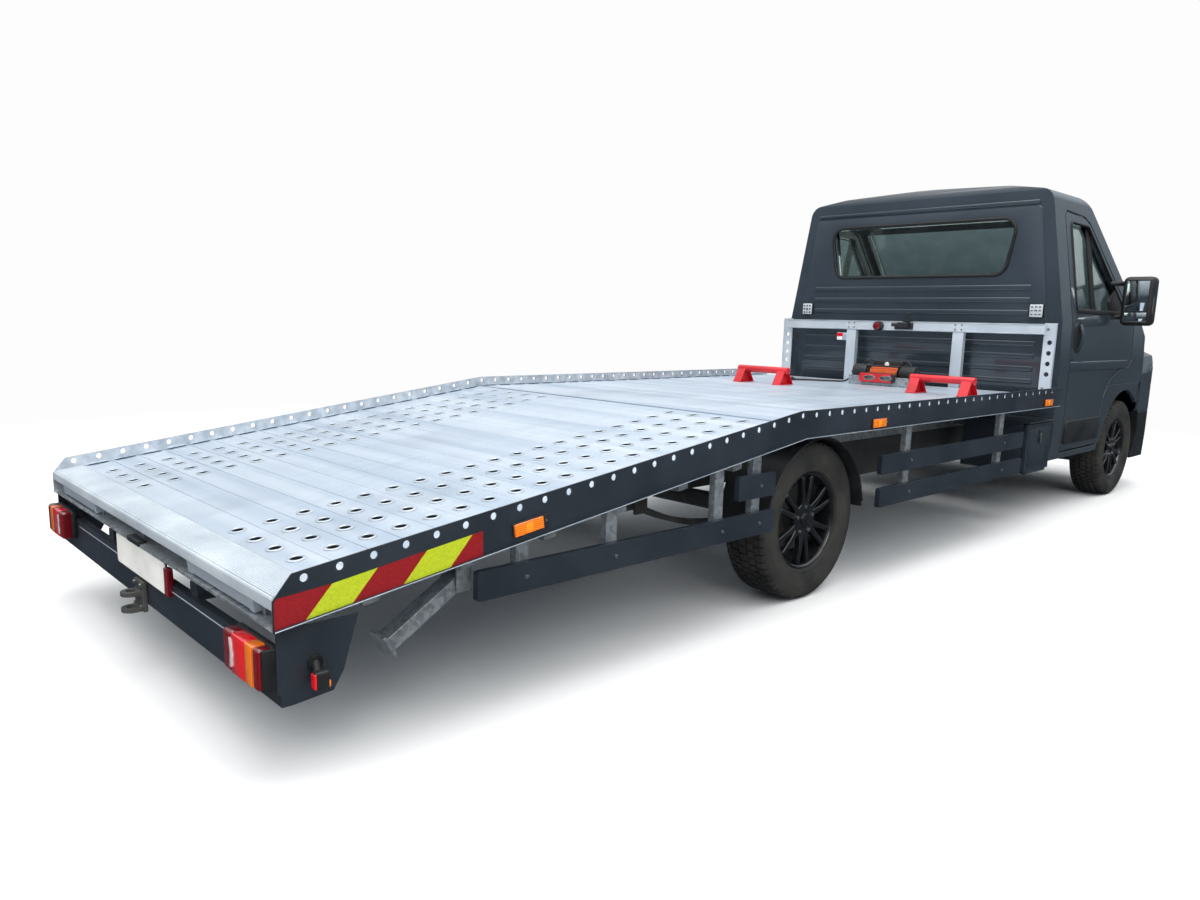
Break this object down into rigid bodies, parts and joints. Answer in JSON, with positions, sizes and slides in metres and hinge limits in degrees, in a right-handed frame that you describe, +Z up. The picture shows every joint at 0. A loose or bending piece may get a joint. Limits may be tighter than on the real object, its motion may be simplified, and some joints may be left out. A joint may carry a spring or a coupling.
{
  "type": "car transporter truck",
  "caption": "Two-axle van-based car transporter: chassis cab with a low fixed platform that slopes to the tail, side rails with lashing holes, winch, slide-out ramps and stabiliser legs.",
  "frame": {"origin": "on the ground, under the middle of the vehicle's box", "axes": "+Z up, the vehicle faces -Y, +X is the vehicle's left side"},
  "size_m": [2.484, 7.5003, 2.1496],
  "materials": {
    "paint": "gloss",
    "black_plastic": "satin",
    "frame_steel": "satin",
    "galvanised": "matte",
    "aluminium": "satin",
    "glass": "gloss",
    "lamp_lens": "gloss",
    "red_lens": "gloss",
    "amber_lens": "gloss",
    "tyre_rubber": "matte",
    "wheel_black": "satin",
    "cast_steel": "matte",
    "seat_cloth": "matte",
    "interior": "matte",
    "plate_white": "satin",
    "stop_red": "gloss",
    "winch_mix": "satin",
    "rail_grey": "satin"
  },
  "bodies": {
    "base": {"chassis_frame": "frame_steel", "front_suspension": "frame_steel", "engine_block": "cast_steel", "cab_shell": "paint", "front_wings": "paint", "front_bumper": "black_plastic", "grille": "black_plastic", "headlamps": "lamp_lens", "cab_glass": "glass", "dashboard": "interior", "steering_wheel": "interior", "seats": "seat_cloth", "rear_axle": "cast_steel", "leaf_springs": "frame_steel", "fuel_tank": "black_plastic", "bed_frame": "galvanised", "side_rails": "rail_grey", "deck": "aluminium", "rear_tread_plate": "aluminium", "rear_bumper": "rail_grey", "tail_lamps": "red_lens", "number_plate": "plate_white", "tow_hitch": "frame_steel", "side_guards": "rail_grey", "mudguards": "black_plastic", "toolboxes": "rail_grey", "headboard": "aluminium", "winch": "winch_mix", "wheel_stops": "stop_red", "lamps": "amber_lens"},
    "wheel_front_left": {"rim_front_left": "wheel_black", "tyre_front_left": "tyre_rubber"},
    "wheel_front_right": {"rim_front_right": "wheel_black", "tyre_front_right": "tyre_rubber"},
    "wheel_rear_left": {"rim_rear_left": "wheel_black", "tyre_rear_left": "tyre_rubber"},
    "wheel_rear_right": {"rim_rear_right": "wheel_black", "tyre_rear_right": "tyre_rubber"},
    "knuckle_left": {"knuckle_left": "cast_steel"},
    "door_left": {"door_left": "paint", "door_glass_left": "glass", "mirror_left": "black_plastic"},
    "toolbox_door_left": {"toolbox_door_left": "rail_grey"},
    "stabiliser_leg_left": {"stabiliser_leg_left": "galvanised"},
    "ramp_left": {"ramp_left": "aluminium"},
    "knuckle_right": {"knuckle_right": "cast_steel"},
    "door_right": {"door_right": "paint", "door_glass_right": "glass", "mirror_right": "black_plastic"},
    "toolbox_door_right": {"toolbox_door_right": "rail_grey"},
    "stabiliser_leg_right": {"stabiliser_leg_right": "galvanised"},
    "ramp_right": {"ramp_right": "aluminium"},
    "bonnet": {"bonnet": "paint"}
  },
  "joints": [
    {"name": "steer_left", "type": "hinge", "parent": "base", "child": "knuckle_left", "pos_m": [0.835, -2.806, 0.355], "axis": [0, 0, 1], "range_deg": [-33, 33]},
    {"name": "spin_front_left", "type": "hinge", "parent": "knuckle_left", "child": "wheel_front_left", "pos_m": [0.895, -2.806, 0.355], "axis": [1, 0, 0], "continuous": true},
    {"name": "spin_rear_left", "type": "hinge", "parent": "base", "child": "wheel_rear_left", "pos_m": [0.895, 1.229, 0.355], "axis": [1, 0, 0], "continuous": true},
    {"name": "door_left_hinge", "type": "hinge", "parent": "base", "child": "door_left", "pos_m": [1.008, -2.83, 1.1], "axis": [0, 0, -1], "range_deg": [0, 65]},
    {"name": "toolbox_door_left_hinge", "type": "hinge", "parent": "base", "child": "toolbox_door_left", "pos_m": [1.024, -1.1935, 0.343], "axis": [0, 1, 0], "range_deg": [0, 90]},
    {"name": "stabiliser_leg_left_pivot", "type": "hinge", "parent": "base", "child": "stabiliser_leg_left", "pos_m": [0.995, 3.094, 0.442], "axis": [-1, 0, 0], "range_deg": [0, 59]},
    {"name": "ramp_left_slide", "type": "slide", "parent": "base", "child": "ramp_left", "axis": [0, 0.9913, -0.1314], "range_m": [0, 1.55]},
    {"name": "steer_right", "type": "hinge", "parent": "base", "child": "knuckle_right", "pos_m": [-0.835, -2.806, 0.355], "axis": [0, 0, 1], "range_deg": [-33, 33]},
    {"name": "spin_front_right", "type": "hinge", "parent": "knuckle_right", "child": "wheel_front_right", "pos_m": [-0.895, -2.806, 0.355], "axis": [1, 0, 0], "continuous": true},
    {"name": "spin_rear_right", "type": "hinge", "parent": "base", "child": "wheel_rear_right", "pos_m": [-0.895, 1.229, 0.355], "axis": [1, 0, 0], "continuous": true},
    {"name": "door_right_hinge", "type": "hinge", "parent": "base", "child": "door_right", "pos_m": [-1.008, -2.83, 1.1], "axis": [0, 0, 1], "range_deg": [0, 65]},
    {"name": "toolbox_door_right_hinge", "type": "hinge", "parent": "base", "child": "toolbox_door_right", "pos_m": [-1.024, -1.1935, 0.343], "axis": [0, -1, 0], "range_deg": [0, 90]},
    {"name": "stabiliser_leg_right_pivot", "type": "hinge", "parent": "base", "child": "stabiliser_leg_right", "pos_m": [-0.995, 3.094, 0.442], "axis": [-1, 0, 0], "range_deg": [0, 59]},
    {"name": "ramp_right_slide", "type": "slide", "parent": "base", "child": "ramp_right", "axis": [0, 0.9913, -0.1314], "range_m": [0, 1.55]},
    {"name": "bonnet_hinge", "type": "hinge", "parent": "base", "child": "bonnet", "pos_m": [0, -3.23, 1.094], "axis": [-1, 0, 0], "range_deg": [0, 55]}
  ],
  "couplings": [
    {"joint": "steer_right", "follows": "steer_left", "ratio": 1}
  ]
}
